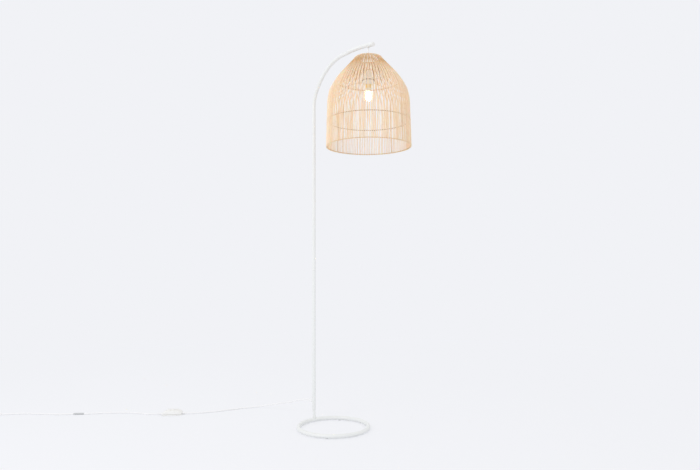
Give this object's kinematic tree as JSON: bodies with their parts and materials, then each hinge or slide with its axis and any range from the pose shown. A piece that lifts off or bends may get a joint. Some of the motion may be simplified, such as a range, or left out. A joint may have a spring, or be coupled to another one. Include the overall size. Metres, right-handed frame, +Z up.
{
  "type": "floor lamp",
  "caption": "Floor lamp: ring foot, slim bent pole and an open rattan shade that hangs and swings on its flex, with mains cord, foot switch and plug.",
  "frame": {"origin": "on the floor, under the middle of the lamp's own outline, without its mains cord", "axes": "+Z up, +X from the pole towards the shade"},
  "size_m": [1.6398, 1.4416, 1.548],
  "materials": {
    "white_steel": "white powder coat, satin",
    "zinc_steel": "zinc plated",
    "glide_rubber": "soft, matt",
    "white_plastic": "moulded, satin",
    "cord_white": "extruded white PVC",
    "cane": "natural peeled rattan, matt",
    "frame_wire": "brown lacquered wire",
    "ceramic": "pressed insulating block",
    "bulb_brass": "stamped screw shell",
    "contact_glass": "black vitrite",
    "opal_glass": "opal, lit",
    "grey_rubber": "matt pale grey",
    "pin_nickel": "nickel plated"
  },
  "bodies": {
    "stand": {"base_ring": "white_steel", "foot_stub": "white_steel", "pole_lower": "white_steel", "pole_upper": "white_steel", "arm": "white_steel", "foot_grub_screw": "zinc_steel", "joiner_lower": "zinc_steel", "joiner_upper": "zinc_steel", "switch_screw_1": "zinc_steel", "switch_screw_2": "zinc_steel", "glide_1": "glide_rubber", "glide_2": "glide_rubber", "glide_3": "glide_rubber", "glide_4": "glide_rubber", "arm_end_plug": "white_plastic", "arm_bush": "white_plastic", "switch_cover": "white_plastic", "switch_tray": "white_plastic", "plug_body": "white_plastic", "inner_flex": "cord_white", "cord_near": "cord_white", "cord_mid": "cord_white", "cord_far": "cord_white", "cord_coil": "cord_white", "coil_tie": "cord_white", "cord_relief": "cord_white", "switch_relief_in": "cord_white", "switch_relief_out": "cord_white", "plug_relief": "cord_white", "splice_sleeve": "grey_rubber", "switch_mechanism": "grey_rubber", "plug_pin_left": "pin_nickel", "plug_pin_right": "pin_nickel"},
    "swivel": {"flex_stop": "white_plastic"},
    "pendant": {"hanging_flex": "cord_white", "cord_grip": "white_plastic", "lampholder_cap": "white_plastic", "lampholder_body": "white_plastic", "lampholder_contact": "ceramic", "shade_ring_upper": "white_plastic", "shade_ring_lower": "white_plastic", "rim_hoop": "frame_wire", "mid_hoop": "frame_wire", "shoulder_hoop": "frame_wire", "neck_hoop": "frame_wire", "stay_1": "frame_wire", "stay_2": "frame_wire", "stay_3": "frame_wire", "stay_4": "frame_wire", "spider": "frame_wire", "cane_wall": "cane", "bulb_cap": "bulb_brass", "bulb_contact": "contact_glass", "bulb_glass": "opal_glass"},
    "button": {"switch_button": "white_plastic"}
  },
  "joints": [
    {"name": "pendant_swing", "type": "hinge", "parent": "stand", "child": "swivel", "pos_m": [0.11758, 0, 1.52016], "axis": [0, 1, 0], "range_deg": [-20, 20]},
    {"name": "pendant_sway", "type": "hinge", "parent": "swivel", "child": "pendant", "pos_m": [0.11758, 0, 1.52016], "axis": [1, 0, 0], "range_deg": [-20, 20]},
    {"name": "switch_press", "type": "slide", "parent": "stand", "child": "button", "axis": [0, 0, -1], "range_m": [0, 0.0026], "stiffness_N_per_m": 500, "springref_m": -0.002}
  ]
}
